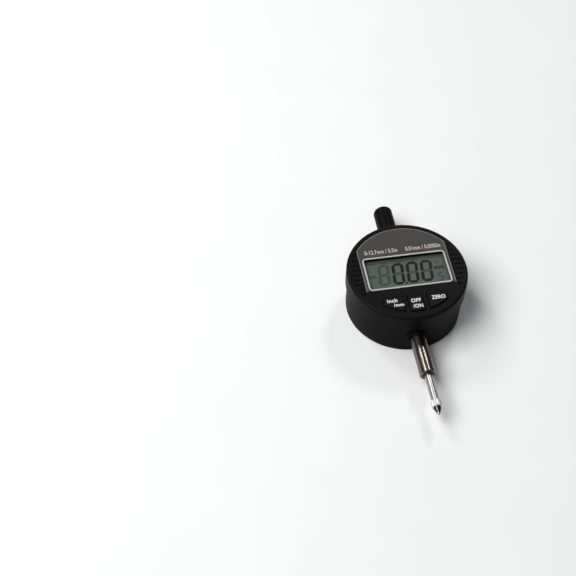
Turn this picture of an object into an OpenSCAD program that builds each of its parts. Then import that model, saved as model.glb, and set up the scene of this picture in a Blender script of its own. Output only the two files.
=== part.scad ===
// Digital dial indicator with a 12.7 mm travel, an 8 mm stem and a flat back.
// It lies on its back: +Z leaves the display, -Y points at the contact point, and the
// origin is the centre of the flat back. All sizes are in millimetres.

/* [Case] */
// Outer diameter of the front housing
case_d = 60; // [58:1:62]
// Depth of the whole case, from the flat back to the front rim
case_t = 27; // [26.5:0.5:28]
// Depth of the front housing alone
front_h = 10; // [10:0.5:10.5]
// Outer diameter of the rear housing and back cover
rear_d = 58; // [57:0.5:58]
// Thickness of the back cover
back_t = 2; // [1.8:0.1:2.2]
// Width of the raised rim around the face
rim_w = 2.6; // [2.2:0.1:2.6]
// Radius of the rim's rounded outer edge
rim_round = 1.2; // [0.6:0.1:1.5]
// Step from the rim down to the face plate
face_step = 0.4; // [0.3:0.1:0.5]

/* [Display] */
// Width of the window
window_w = 40.2; // [38:0.2:40.4]
// Height of the window
window_h = 18.8; // [17:0.2:19]
// Width of the silver line around the window
frame_line = 1; // [0.8:0.1:1.2]
// Distance from the face's centre to the straight sides of the label
label_side = 22.4; // [22.2:0.1:22.6]

/* [Keys] */
// Height of the keys' top edge below the face's centre
key_top = 15.7; // [15.5:0.1:16]
// Radius of the arc that the keys' bottom edges follow
key_arc = 25.5; // [25:0.1:25.7]
// Half the width of the middle key
mid_key = 3.7; // [3.4:0.1:3.8]
// Inner edge of the side keys
side_key_in = 6; // [5.8:0.1:6.3]
// Outer edge of the side keys
side_key_out = 16; // [15:0.1:16.2]
// Gap between a key and its opening
key_gap = 0.25; // [0.2:0.05:0.3]
// How far the keys stand above the face plate
key_proud = 0.7; // [0.6:0.1:0.9]
// How far a key travels when it is pressed
key_travel = 0.6; // [0.4:0.1:0.6]

/* [Stem and spindle] */
// Height of the spindle's axis above the flat back
axis_z = 10.75; // [10.7:0.05:10.75]
// Diameter of the stem
stem_d = 8; // [8:0.1:8.2]
// Distance from the case's centre to the end of the stem
stem_end = 52; // [50:0.5:53]
// Diameter of the spindle
spindle_d = 4; // [3.9:0.1:4]
// Distance from the case's centre to the spindle's lower end
spindle_end = 66.5; // [66:0.5:68]
// Distance from the case's centre to the contact point's tip
tip_end = 74.5; // [74:0.5:76]
// Measuring travel of the spindle
travel = 12.7; // [10:0.1:12.7]
// Diameter of the dust cap
cap_d = 9.8; // [9.6:0.1:10]
// Distance from the case's centre to the top of the dust cap
cap_end = 54; // [54:0.5:56]
// Radial clearance of the spindle in its bushes
bush_gap = 0.05; // [0.03:0.01:0.08]

/* [Hidden] */
$fn = 96;
eps = 0.01;

// Case levels, from the flat back upwards
front_r = case_d / 2;
rear_r = rear_d / 2;
joint_z = case_t - front_h;
rear_top = joint_z - 0.1;
face_z = case_t - face_step;
plate_t = 2;
plate_z = face_z - plate_t;
rim_in = front_r - rim_w;
rear_wall = 2;
floor_z = 5;
floor_t = 1.5;
floor_top = floor_z + floor_t;

// Electronics levels and sizes
board_z = joint_z + 0.4;
board_t = 1.6;
board_top = board_z + board_t;
board_r = rim_in - 1.1;
lens_t = 1;
lens_lip = 1;
glass_t = 2;
glass_w = 43;
glass_h = 22;
glass_top = plate_z - 0.15;
glass_z = glass_top - glass_t;
holder_rim = 1;
zebra_w = 36;
zebra_t = 1.4;
zebra_y = 9.8;
label_t = 0.15;
label_gap = 0.15;
label_r = rim_in - 0.15;
line_proud = 0.3;
rib_pitch = 3;
rib_count = 8;
rib_w = 1.9;
rib_in = label_side + 0.5;

// Screw places: where the case is screwed together, and where the back cover is fixed
case_screw_xy = [[17, 18.3], [-17, 18.3], [19.7, -15.4], [-19.7, -15.4]];
back_screw_xy = [[10.4, 22.2], [-10.4, 22.2], [22.2, -10.4], [-22.2, -10.4]];
board_screw_xy = [[9, 19.5], [-9, 19.5]];
rail_screw_xy = [[-10.4, -14.2], [-10.4, 5.2]];
post_r = 1.9;
screw_r = 0.9;
hole_r = 0.95;
head_r = 1.8;
head_t = 1.2;

// Spindle line
stem_r = stem_d / 2;
stem_root = 30.5;
stem_tail_r = 3.6;
stem_bore_r = 2.9;
boss_in = 20;
boss_half = 6.5;
collar_r = 5;
chamfer = 0.4;
spindle_r = spindle_d / 2;
spindle_top = 39.2;
bush_r = 3.6;
bush_end = 36;
bush_flange = 31.5;
cap_r = cap_d / 2;
cap_base = bush_flange + 0.1;
cap_round = 1.6;
bumper_t = 2.9;

// Carriage on the spindle: carrier, scale strip, guide pin and spring
carrier_half = 5;
carrier_low = 17;
carrier_len = 12;
carrier_top = 13.6;
carrier_base = 7.6;
strip_t = 0.7;
strip_len = 20;
strip_half = 6;
strip_low = carrier_low - 0.2;
sensor_z = carrier_top + strip_t + 0.2;
sensor_t = 1;
pin_r = 1;
pin_y = -11;
rail_x = -12.2;
rail_w = 3.6;
rail_low = -15.9;
rail_len = 22.8;
slot_gap = 0.1;
spring_r = 2.45;
wire_r = 0.2;
washer_r = 3.5;
spring_turns = 11;

// Contact point
head_len = 3.9;
contact_head_r = 2.4;
ball_r = 0.9;
ball_y = tip_end - ball_r;
stud_r = 1;
stud_len = 4.6;

// Battery
cell_r = 5.8;
cell_t = 5.4;
cell_xy = [17.5, 6];
cell_z = 2.3;
holder_r = 7.5;
holder_top = 9.2;
cup_r = 6.4;
battery_cap_r = 7.4;
coin_slot_w = 1.6;
coin_slot_t = 0.9;

// A cylinder along Y from y0 to y1 on the spindle's axis, with end radii r0 and r1
module rod(y0, y1, r0, r1 = undef) {
    translate([0, y0, axis_z])
        rotate([-90, 0, 0])
            cylinder(h = y1 - y0, r1 = r0, r2 = is_undef(r1) ? r0 : r1);
}

// A flat rectangle with round corners, centred
module round_rect(w, h, r) {
    square([w - 2 * r, h], center = true);
    square([w, h - 2 * r], center = true);
    for (sx = [-1, 1], sy = [-1, 1])
        translate([sx * (w / 2 - r), sy * (h / 2 - r)])
            circle(r = r, $fn = 32);
}

// A round-cornered plate between two heights
module plate(w, h, r, z0, z1) {
    translate([0, 0, z0])
        linear_extrude(z1 - z0)
            round_rect(w, h, r);
}

// A vertical cylinder at a place on the case
module post(xy, z0, z1, r) {
    translate([xy[0], xy[1], z0])
        cylinder(h = z1 - z0, r = r, $fn = 48);
}

// A screw along Z: shank from tip to seat, then the head, with a cross recess in it
module screw(xy, tip, seat, flip) {
    head = flip * head_t;
    difference() {
        union() {
            post(xy, min(tip, seat), max(tip, seat), screw_r);
            post(xy, min(seat, seat + head), max(seat, seat + head), head_r);
        }
        for (a = [0, 90])
            translate([xy[0], xy[1], seat + head])
                rotate([0, 0, a])
                    cube([2.2, 0.5, 1.2], center = true);
    }
}

// The outline of one key, between two x values, grown by g all round
module key_outline(x0, x1, g) {
    intersection() {
        circle(r = key_arc + g);
        translate([x0 - g, -front_r])
            square([x1 - x0 + 2 * g, front_r - key_top + g]);
    }
}

// One key: its cap in the opening, its flange behind the plate and its plunger
module key(x0, x1) {
    mid_x = (x0 + x1) / 2;
    flange_top = plate_z - 0.15;
    translate([0, 0, flange_top])
        linear_extrude(face_z + key_proud - flange_top)
            key_outline(x0, x1, -key_gap);
    translate([0, 0, flange_top - 1])
        linear_extrude(1 + eps)
            key_outline(x0, x1, 0.6);
    post([mid_x, -key_top - 3.4], board_top + key_travel + 0.2, flange_top - 0.9, 1.6);
}

// Shell that carries the rim, the face plate, the flank ribs and the screw posts
module front_housing() {
    color([0.05, 0.05, 0.055])
    union() {
        rotate_extrude()
            translate([0, joint_z])
                union() {
                    translate([rim_in, 0])
                        square([rim_w, front_h - rim_round]);
                    translate([rim_in, 0])
                        square([rim_w - rim_round, front_h]);
                    translate([front_r - rim_round, front_h - rim_round])
                        circle(r = rim_round, $fn = 48);
                }
        difference() {
            translate([0, 0, plate_z])
                cylinder(h = plate_t, r = rim_in + 0.5);
            plate(window_w, window_h, 1, plate_z - 1, face_z + 1);
            plate(window_w + 2 * lens_lip, window_h + 2 * lens_lip, 1, plate_z - 1, plate_z + lens_t);
            translate([0, 0, plate_z - 1])
                linear_extrude(plate_t + 2) {
                    key_outline(-side_key_out, -side_key_in, 0);
                    key_outline(-mid_key, mid_key, 0);
                    key_outline(side_key_in, side_key_out, 0);
                }
        }
        intersection() {
            translate([0, 0, face_z - eps])
                cylinder(h = face_step, r = rim_in + 0.1);
            for (i = [0:rib_count - 1], sx = [-1, 1])
                translate([sx * (rib_in + 5), (i - (rib_count - 1) / 2) * rib_pitch, face_z])
                    cube([10, rib_w, 2], center = true);
        }
        for (p = case_screw_xy)
            difference() {
                post(p, joint_z, plate_z + eps, post_r);
                post(p, joint_z - 1, plate_z - 1.5, hole_r);
            }
        for (p = board_screw_xy)
            difference() {
                post(p, board_top, plate_z + eps, post_r);
                post(p, board_top - 1, plate_z - 0.6, hole_r);
            }
    }
}

// Thin printed label above and beside the window
module face_label() {
    color([0.33, 0.31, 0.29])
    translate([0, 0, face_z])
        linear_extrude(label_t)
            difference() {
                intersection() {
                    circle(r = label_r);
                    translate([-label_side, -window_h / 2 - frame_line])
                        square([2 * label_side, front_r * 2]);
                }
                round_rect(window_w + 2 * (frame_line + label_gap),
                           window_h + 2 * (frame_line + label_gap), 2);
                translate([0, -window_h / 2])
                    square([window_w, 3 * frame_line], center = true);
            }
}

// Bright metal line around the window
module display_frame() {
    color([0.8, 0.8, 0.8])
    difference() {
        plate(window_w + 2 * frame_line, window_h + 2 * frame_line, 2, face_z, face_z + line_proud);
        plate(window_w, window_h, 1, face_z - 1, face_z + 1);
    }
}

// Clear window, glued from behind into the plate's rebate
module window_lens() {
    color([0.8, 0.85, 0.85, 0.4])
    plate(window_w + 2 * lens_lip - 0.3, window_h + 2 * lens_lip - 0.3, 0.8,
          plate_z, plate_z + lens_t - 0.05);
}

// Display glass
module lcd_glass() {
    color([0.55, 0.6, 0.52])
    translate([0, 0, glass_z + glass_t / 2])
        cube([glass_w, glass_h, glass_t], center = true);
}

// Plastic frame that presses the glass and the zebra strips onto the board
module display_holder() {
    color([0.15, 0.15, 0.15])
    difference() {
        plate(glass_w + 2 * holder_rim, glass_h + 2 * holder_rim, 1, board_top, glass_top);
        translate([0, 0, glass_z + glass_t])
            cube([glass_w + 0.2, glass_h + 0.2, 2 * glass_t], center = true);
        translate([0, 0, board_top])
            cube([zebra_w - 1, 2 * zebra_y - 4, 8], center = true);
        for (s = [-1, 1])
            translate([0, s * zebra_y, board_top])
                cube([zebra_w + 0.4, zebra_t + 0.4, 8], center = true);
    }
}

// Two rubber strips that carry the signals from the board to the glass
module zebra_strips() {
    color([0.85, 0.4, 0.6])
    for (s = [-1, 1])
        translate([0, s * zebra_y, (board_top + glass_z) / 2])
            cube([zebra_w, zebra_t, glass_z - board_top], center = true);
}

// Key that changes between inch and millimetre
module unit_key() {
    color([0.07, 0.07, 0.07])
    key(-side_key_out, -side_key_in);
}

// Key that turns the display on and off
module power_key() {
    color([0.07, 0.07, 0.07])
    key(-mid_key, mid_key);
}

// Key that sets the display to zero
module zero_key() {
    color([0.07, 0.07, 0.07])
    key(side_key_in, side_key_out);
}

// Soft sheet under the keys, with a hole for each plunger
module keypad_membrane() {
    color([0.5, 0.5, 0.5])
    difference() {
        translate([0, 0, board_top])
            linear_extrude(0.8)
                intersection() {
                    circle(r = board_r - 0.5);
                    translate([-side_key_out - 0.8, -front_r])
                        square([2 * side_key_out + 1.6, front_r - key_top + 1.5]);
                }
        for (x = [-(side_key_in + side_key_out) / 2, 0, (side_key_in + side_key_out) / 2])
            post([x, -key_top - 3.4], board_top - 1, board_top + 2, 2.1);
    }
}

// Round circuit board behind the display
module main_board() {
    color([0.1, 0.35, 0.15])
    difference() {
        translate([0, 0, board_z])
            cylinder(h = board_t, r = board_r);
        for (p = case_screw_xy)
            post(p, board_z - 1, board_top + 1, post_r + 0.3);
        for (p = board_screw_xy)
            post(p, board_z - 1, board_top + 1, hole_r + 0.1);
    }
}

// Controller under a drop of black resin, on the back of the board
module controller_chip() {
    color([0.03, 0.03, 0.03])
    translate([-16, -4, board_z - 1.5])
        rotate_extrude()
            intersection() {
                square([4.5, 1.5]);
                translate([0, 7.5])
                    circle(r = 7.5);
            }
}

// Timing crystal, a small can lying on the board
module quartz_crystal() {
    color([0.75, 0.75, 0.75])
    translate([-16, 5, board_z - 1.05])
        rotate([-90, 0, 0])
            cylinder(h = 6, r = 1, $fn = 32);
}

// Two screws that hold the board against the front housing
module board_screws() {
    color([0.7, 0.7, 0.7])
    for (p = board_screw_xy)
        screw(p, plate_z - 0.9, board_z, -1);
}

// Sensor plate that faces the moving scale
module sensor_board() {
    color([0.15, 0.4, 0.15])
    translate([-9, -19.3, sensor_z])
        cube([18, 36.3, sensor_t]);
}

// Four spacers between the sensor plate and the main board
module board_spacers() {
    color([0.8, 0.8, 0.75])
    for (x = [-7.6, 7.6], y = [-17.6, 15.2])
        post([x, y], sensor_z + sensor_t, board_z, 1.2);
}

// Header that joins the sensor plate to the main board
module board_connector() {
    color([0.06, 0.06, 0.06])
    translate([-5, 13.6, sensor_z + sensor_t])
        cube([10, 2.5, board_z - sensor_z - sensor_t]);
}

// Cast rear housing: wall, floor, stem collar, bosses for the stem and the upper bush, posts
module rear_housing() {
    color([0.09, 0.09, 0.095])
    difference() {
        union() {
            difference() {
                union() {
                    translate([0, 0, back_t])
                        cylinder(h = rear_top - back_t, r = rear_r);
                    rod(-stem_root, -rear_r + 2, collar_r);
                }
                translate([0, 0, floor_top])
                    cylinder(h = case_t, r = rear_r - rear_wall);
                translate([0, 0, back_t - 1])
                    cylinder(h = floor_z - back_t + 1, r = rear_r - rear_wall);
            }
            for (s = [-1, 1])
                translate([-boss_half, s > 0 ? boss_in + 1 : -rear_r + 1, floor_z])
                    cube([2 * boss_half, rear_r - boss_in - (s > 0 ? 2 : 1), rear_top - floor_z]);
            for (p = case_screw_xy)
                post(p, floor_z, rear_top, 2.2);
            for (p = back_screw_xy)
                post(p, back_t, floor_top, 2.2);
        }
        rod(-front_r - 5, -boss_in + 1, stem_tail_r + 0.03);
        rod(boss_in, front_r + 5, bush_r + 0.03);
        for (p = case_screw_xy)
            post(p, floor_z - 1, case_t, hole_r + 0.1);
        for (p = back_screw_xy)
            post(p, back_t - 1, floor_top - 0.6, hole_r);
        for (p = rail_screw_xy)
            post(p, floor_z - 1, floor_top + 1, hole_r + 0.1);
        post(cell_xy, floor_z - 1, floor_top + 1, holder_r + 0.2);
    }
}

// Four screws that join the rear housing to the front housing
module case_screws() {
    color([0.7, 0.7, 0.7])
    for (p = case_screw_xy)
        screw(p, plate_z - 2.5, floor_z, -1);
}

// Flat back cover with sunk screw holes and the battery opening
module back_cover() {
    color([0.12, 0.12, 0.12])
    difference() {
        union() {
            cylinder(h = 0.5, r1 = rear_r - 0.5, r2 = rear_r);
            translate([0, 0, 0.5])
                cylinder(h = back_t - 0.5, r = rear_r);
        }
        for (p = back_screw_xy) {
            post(p, -1, back_t + 1, hole_r + 0.15);
            translate([p[0], p[1], -eps])
                cylinder(h = 1.2, r1 = 2.15, r2 = 1.1, $fn = 48);
        }
        post(cell_xy, -1, back_t + 1, battery_cap_r + 0.2);
    }
}

// Four countersunk screws of the back cover
module back_screws() {
    color([0.6, 0.6, 0.6])
    for (p = back_screw_xy)
        difference() {
            union() {
                post(p, 0.15, floor_top - 1, screw_r);
                translate([p[0], p[1], 0.12])
                    cylinder(h = 1, r1 = 1.95, r2 = 0.95, $fn = 48);
            }
            for (a = [0, 90])
                translate([p[0], p[1], 0.12])
                    rotate([0, 0, a])
                        cube([2.2, 0.5, 1.2], center = true);
        }
}

// Cup that holds the cell above the back cover
module battery_holder() {
    color([0.2, 0.2, 0.2])
    difference() {
        post(cell_xy, back_t + 0.1, holder_top, holder_r);
        post(cell_xy, back_t, holder_top - 0.8, cup_r);
        translate([cell_xy[0], cell_xy[1], holder_top])
            cube([1, 2.6, 4], center = true);
        translate([cell_xy[0] - cup_r + 0.2, cell_xy[1], holder_top])
            cube([1, 4.6, 2 * (holder_top - back_t) + 1], center = true);
    }
}

// Button cell
module battery_cell() {
    color([0.8, 0.8, 0.8])
    post(cell_xy, cell_z, cell_z + cell_t, cell_r);
}

// Contact that touches the cell's side, with a tail up to the board
module battery_contact_plus() {
    color([0.8, 0.65, 0.3])
    translate([cell_xy[0] - cup_r + 0.05, cell_xy[1] - 2, 3])
        cube([0.3, 4, board_z - 3]);
}

// Contact that touches the cell's end, with a tail up to the board
module battery_contact_minus() {
    color([0.8, 0.65, 0.3])
    union() {
        post(cell_xy, 7.9, 8.2, 3.5);
        translate([cell_xy[0] - 0.15, cell_xy[1] - 1, 8.1])
            cube([0.3, 2, board_z - 8.1]);
    }
}

// Round battery cap with a coin slot; it turns to unlock
module battery_cap() {
    color([0.1, 0.1, 0.1])
    difference() {
        post(cell_xy, 0.15, back_t, battery_cap_r);
        translate([cell_xy[0], cell_xy[1], 0.15])
            cube([9, coin_slot_w, 2 * coin_slot_t], center = true);
    }
}

// Stem, with a smaller tail pressed into the rear housing
module stem() {
    color([0.85, 0.83, 0.8])
    difference() {
        union() {
            rod(-stem_end, -stem_end + chamfer + eps, stem_r - chamfer, stem_r);
            rod(-stem_end + chamfer, -stem_root, stem_r);
            rod(-stem_root - eps, -boss_in, stem_tail_r);
        }
        rod(-stem_end - 1, -boss_in + 1, stem_bore_r);
    }
}

// Bush in the lower end of the stem
module lower_bush() {
    color([0.75, 0.7, 0.6])
    difference() {
        rod(-stem_end + 0.3, -stem_end + 9, stem_bore_r - 0.02);
        rod(-stem_end - 1, -stem_end + 10, spindle_r + bush_gap);
    }
}

// Upper bush, with a flange and a threaded nose for the dust cap
module upper_bush() {
    color([0.75, 0.7, 0.6])
    difference() {
        union() {
            rod(boss_in + 1, bush_end, bush_r);
            rod(bush_flange - 1, bush_flange, cap_r - 0.3);
        }
        rod(boss_in, bush_end + 1, spindle_r + bush_gap);
    }
}

// Screw-on cap over the spindle's upper end
module dust_cap() {
    color([0.06, 0.06, 0.06])
    difference() {
        translate([0, cap_base, axis_z])
            rotate([-90, 0, 0])
                rotate_extrude()
                    union() {
                        square([cap_r, cap_end - cap_base - cap_round]);
                        square([cap_r - cap_round, cap_end - cap_base]);
                        translate([cap_r - cap_round, cap_end - cap_base - cap_round])
                            circle(r = cap_round, $fn = 48);
                    }
        rod(cap_base - 1, bush_end + 0.5, bush_r + 0.05);
        rod(cap_base, cap_end - 1.6, spindle_r + 0.7);
    }
}

// Nylon washer that the carrier rests on when the spindle is out
module stop_washer() {
    color([0.9, 0.9, 0.85])
    difference() {
        rod(-boss_in, -boss_in + bumper_t, washer_r);
        rod(-boss_in - 1, -boss_in + bumper_t + 1, spindle_r + 0.3);
    }
}

// Slotted rail that keeps the spindle from turning
module guide_rail() {
    color([0.6, 0.6, 0.62])
    difference() {
        translate([rail_x, rail_low, floor_top])
            cube([rail_w, rail_len, 7]);
        translate([rail_x - 1, pin_y - pin_r - 0.3, axis_z - pin_r - slot_gap])
            cube([rail_w + 2, travel + 2 * pin_r + 0.8, 2 * (pin_r + slot_gap)]);
        for (p = rail_screw_xy)
            post(p, floor_z, floor_top + 3.2, hole_r);
    }
}

// Two screws that hold the rail on the rear housing's floor
module rail_screws() {
    color([0.7, 0.7, 0.7])
    for (p = rail_screw_xy)
        screw(p, floor_top + 2.8, floor_z, -1);
}

// Compression spring between the carrier and the upper bush
module return_spring() {
    lo = -carrier_low + carrier_len + 0.3;
    hi = boss_in + 1 - 0.05;
    sides = 6;
    steps = spring_turns * 16;
    rise = hi - lo - 2 * wire_r;
    points = [
        for (i = [0:steps], k = [0:sides - 1])
            let (a = 360 * spring_turns * i / steps, b = 360 * k / sides, r = spring_r + wire_r * cos(b))
            [r * sin(a), lo + wire_r + rise * i / steps + wire_r * sin(b), axis_z + r * cos(a)]
    ];
    skin = [
        for (i = [0:steps - 1], k = [0:sides - 1])
            let (n = (k + 1) % sides, u = i * sides, v = (i + 1) * sides)
            [u + k, v + k, v + n, u + n]
    ];
    ends = [
        [for (k = [0:sides - 1]) k],
        [for (k = [sides - 1:-1:0]) steps * sides + k]
    ];
    color([0.75, 0.75, 0.75])
    polyhedron(points, concat(skin, ends));
}

// Hardened spindle, drilled and tapped for the contact point
module spindle() {
    color([0.8, 0.8, 0.8])
    difference() {
        union() {
            rod(-spindle_end, spindle_top - 0.5, spindle_r);
            rod(spindle_top - 0.5 - eps, spindle_top, spindle_r, spindle_r - 0.5);
        }
        rod(-spindle_end - 1, -spindle_end + stud_len + 0.6, stud_r + 0.05);
    }
}

// Contact point: thread, gripping head and cone
module contact_point() {
    color([0.75, 0.72, 0.68])
    difference() {
        union() {
            rod(-spindle_end - 0.1, -spindle_end + stud_len, stud_r);
            rod(-spindle_end - head_len, -spindle_end - 0.05, contact_head_r);
            rod(-ball_y - 0.1, -spindle_end - head_len + eps, ball_r - 0.05, 1.95);
        }
        translate([0, -ball_y, axis_z])
            sphere(r = ball_r + 0.02);
    }
}

// Hard ball in the contact point's tip
module contact_ball() {
    color([0.85, 0.85, 0.85])
    translate([0, -ball_y, axis_z])
        sphere(r = ball_r);
}

// Block clamped on the spindle, which carries the scale strip
module scale_carrier() {
    color([0.65, 0.66, 0.68])
    difference() {
        translate([-carrier_half, -carrier_low, carrier_base])
            cube([2 * carrier_half, carrier_len, carrier_top - carrier_base]);
        rod(-carrier_low - 1, -carrier_low + carrier_len + 1, spindle_r + 0.02);
        translate([0, pin_y, axis_z])
            rotate([0, -90, 0])
                cylinder(h = carrier_half + 1, r = pin_r + 0.02, $fn = 48);
        for (y = [3, 9])
            post([0, -carrier_low + y], carrier_base - 1, axis_z, screw_r + 0.05);
    }
}

// Scale strip with the sensor's pattern, on top of the carrier
module scale_strip() {
    color([0.2, 0.45, 0.2])
    translate([-strip_half, -strip_low, carrier_top])
        cube([2 * strip_half, strip_len, strip_t]);
}

// Two set screws that clamp the carrier on the spindle
module carrier_screws() {
    color([0.4, 0.4, 0.4])
    for (y = [3, 9])
        post([0, -carrier_low + y], carrier_base - 0.4, axis_z - spindle_r - 0.02, screw_r);
}

// Pin that runs in the guide rail's slot
module guide_pin() {
    color([0.75, 0.75, 0.75])
    translate([-spindle_r - 0.3, pin_y, axis_z])
        rotate([0, -90, 0])
            cylinder(h = -rail_x - spindle_r - 1.3, r = pin_r, $fn = 48);
}

front_housing();
face_label();
display_frame();
window_lens();
lcd_glass();
display_holder();
zebra_strips();
unit_key();
power_key();
zero_key();
keypad_membrane();
main_board();
controller_chip();
quartz_crystal();
board_screws();
sensor_board();
board_spacers();
board_connector();
rear_housing();
case_screws();
back_cover();
back_screws();
battery_holder();
battery_cell();
battery_contact_plus();
battery_contact_minus();
battery_cap();
stem();
lower_bush();
upper_bush();
dust_cap();
stop_washer();
guide_rail();
rail_screws();
return_spring();
spindle();
contact_point();
contact_ball();
scale_carrier();
scale_strip();
carrier_screws();
guide_pin();
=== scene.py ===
from math import cos, degrees, pi, radians, sin

import bpy
from mathutils import Matrix, Vector


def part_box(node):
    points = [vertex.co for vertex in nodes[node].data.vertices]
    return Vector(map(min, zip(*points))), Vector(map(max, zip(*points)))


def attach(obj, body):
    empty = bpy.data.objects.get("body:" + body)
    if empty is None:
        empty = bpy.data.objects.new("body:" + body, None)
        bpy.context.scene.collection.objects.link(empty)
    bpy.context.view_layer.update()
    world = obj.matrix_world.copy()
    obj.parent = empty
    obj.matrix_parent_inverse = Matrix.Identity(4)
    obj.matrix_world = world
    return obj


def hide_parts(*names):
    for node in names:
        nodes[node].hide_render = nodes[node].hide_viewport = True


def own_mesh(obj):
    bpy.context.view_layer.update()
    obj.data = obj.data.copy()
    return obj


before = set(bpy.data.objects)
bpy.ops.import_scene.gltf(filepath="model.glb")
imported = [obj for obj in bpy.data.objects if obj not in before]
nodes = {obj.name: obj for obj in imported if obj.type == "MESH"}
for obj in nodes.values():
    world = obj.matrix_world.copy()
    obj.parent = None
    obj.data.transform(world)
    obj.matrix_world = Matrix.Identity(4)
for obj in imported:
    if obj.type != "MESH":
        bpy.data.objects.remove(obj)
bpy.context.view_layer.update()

# ---------------------------------------------------------------- rear housing
# The cast rear shell carries everything else: the stem, the upper bush, the rail and both
# covers. It is aluminium under a finely textured black paint.
mm = 0.001


class Signal:
    """What one node puts out. Arithmetic on numbers adds the Math nodes for it."""

    def __init__(self, finish, socket):
        self.finish = finish
        self.socket = socket

    def sum(self, operation, *values):
        return self.finish.node("ShaderNodeMath", {"operation": operation}, dict(enumerate(values)))

    def __add__(self, other):
        return self.sum("ADD", self, other)

    def __radd__(self, other):
        return self.sum("ADD", other, self)

    def __sub__(self, other):
        return self.sum("SUBTRACT", self, other)

    def __rsub__(self, other):
        return self.sum("SUBTRACT", other, self)

    def __mul__(self, other):
        return self.sum("MULTIPLY", self, other)

    def __rmul__(self, other):
        return self.sum("MULTIPLY", other, self)

    def __truediv__(self, other):
        return self.sum("DIVIDE", self, other)

    def between(self, low, high):
        """0 below low, 1 above high, and a straight rise from one to the other."""
        sockets = {"Value": self, "From Min": low, "From Max": high}
        return self.finish.node("ShaderNodeMapRange", {}, sockets)

    def wave(self, length):
        """Swings between -1 and 1, once in each length."""
        return self.sum("SINE", self * (2 * pi / length))


class Finish:
    """A material: one shader with its constants, and the patterns that vary over the piece."""

    def __init__(self, name, **constants):
        self.material = bpy.data.materials.new(name)
        self.material.use_nodes = True
        self.tree = self.material.node_tree
        self.shader = self.tree.nodes["Principled BSDF"]
        for key, value in constants.items():
            self.shader.inputs[key.replace("_", " ")].default_value = value
        self.place = self.node("ShaderNodeTexCoord", output="Object")

    def node(self, kind, settings=None, sockets=None, output=0):
        made = self.tree.nodes.new(kind)
        for key, value in (settings or {}).items():
            setattr(made, key, value)
        for key, value in (sockets or {}).items():
            if isinstance(value, Signal):
                self.tree.links.new(value.socket, made.inputs[key])
            else:
                made.inputs[key].default_value = value
        return Signal(self, made.outputs[output])

    def drive(self, key, signal):
        self.tree.links.new(signal.socket, self.shader.inputs[key])

    def xyz(self):
        sockets = {"Vector": self.place}
        return [self.node("ShaderNodeSeparateXYZ", {}, sockets, axis) for axis in "XYZ"]

    def stretched(self, along):
        sockets = {0: self.place, 1: along}
        return self.node("ShaderNodeVectorMath", {"operation": "MULTIPLY"}, sockets)

    def grain(self, size, detail=2.0, along=(1, 1, 1)):
        """Soft random pattern with spots about as large as size, drawn out by along."""
        sockets = {"Vector": self.stretched(along), "Scale": 1 / size, "Detail": detail}
        return self.node("ShaderNodeTexNoise", {}, sockets)

    def pebbles(self, size):
        """Close-set round bumps about as large as size."""
        sockets = {"Vector": self.place, "Scale": 1 / size}
        return self.node("ShaderNodeTexVoronoi", {"feature": "F1"}, sockets)

    def tint(self, share, first, second):
        """Colour that goes from first to second as share goes from 0 to 1."""
        sockets = {0: share, 6: first, 7: second}
        return self.node("ShaderNodeMix", {"data_type": "RGBA"}, sockets, 2)

    def relief(self, height, depth):
        sockets = {"Height": height, "Distance": depth, "Strength": 1.0}
        self.drive("Normal", self.node("ShaderNodeBump", {}, sockets))


def grey(level, warm=0.0):
    return (level * (1 + warm), level, level * (1 - warm), 1)


def black_paint(name, size):
    """Stove-enamelled black with a fine orange-peel texture and a few dusty specks."""
    paint = Finish(name, Specular_IOR_Level=0.05)
    cloud = paint.grain(9 * mm, 3)
    speck = paint.grain(0.35 * mm, 4).between(0.66, 0.74)
    base = paint.tint(cloud, grey(0.003), grey(0.005, 0.03))
    paint.drive("Base Color", paint.tint(speck * 0.3, base, grey(0.06)))
    paint.drive("Roughness", 0.42 + 0.16 * cloud)
    paint.relief(paint.pebbles(size) + 0.5 * paint.grain(size * 0.6), 0.03 * mm)
    return paint.material


def clear_selection():
    if bpy.context.object and bpy.context.object.mode != "OBJECT":
        bpy.ops.object.mode_set(mode="OBJECT")
    bpy.ops.object.select_all(action="DESELECT")


def settle():
    """Back to object mode, with the piece's place written into its mesh."""
    bpy.ops.object.mode_set(mode="OBJECT")
    bpy.ops.object.transform_apply(location=True, rotation=True, scale=True)
    return bpy.context.object


def modify(piece, kind, **settings):
    """Adds one modifier with these settings and applies it."""
    clear_selection()
    piece.select_set(True)
    bpy.context.view_layer.objects.active = piece
    modifier = piece.modifiers.new(kind, kind)
    for key, value in settings.items():
        setattr(modifier, key, value)
    bpy.ops.object.modifier_apply(modifier=modifier.name)
    return piece


def rounded(piece, width, segments=3, angle=30):
    settings = {"limit_method": "ANGLE", "angle_limit": radians(angle), "harden_normals": False}
    return modify(piece, "BEVEL", width=width, segments=segments, **settings)


def cut(piece, *cutters, how="DIFFERENCE"):
    """Takes each cutter's shape out of the piece, or adds it, and removes the cutter."""
    for cutter in cutters:
        modify(piece, "BOOLEAN", object=cutter, operation=how, solver="EXACT")
        bpy.data.objects.remove(cutter)
    return piece


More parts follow.
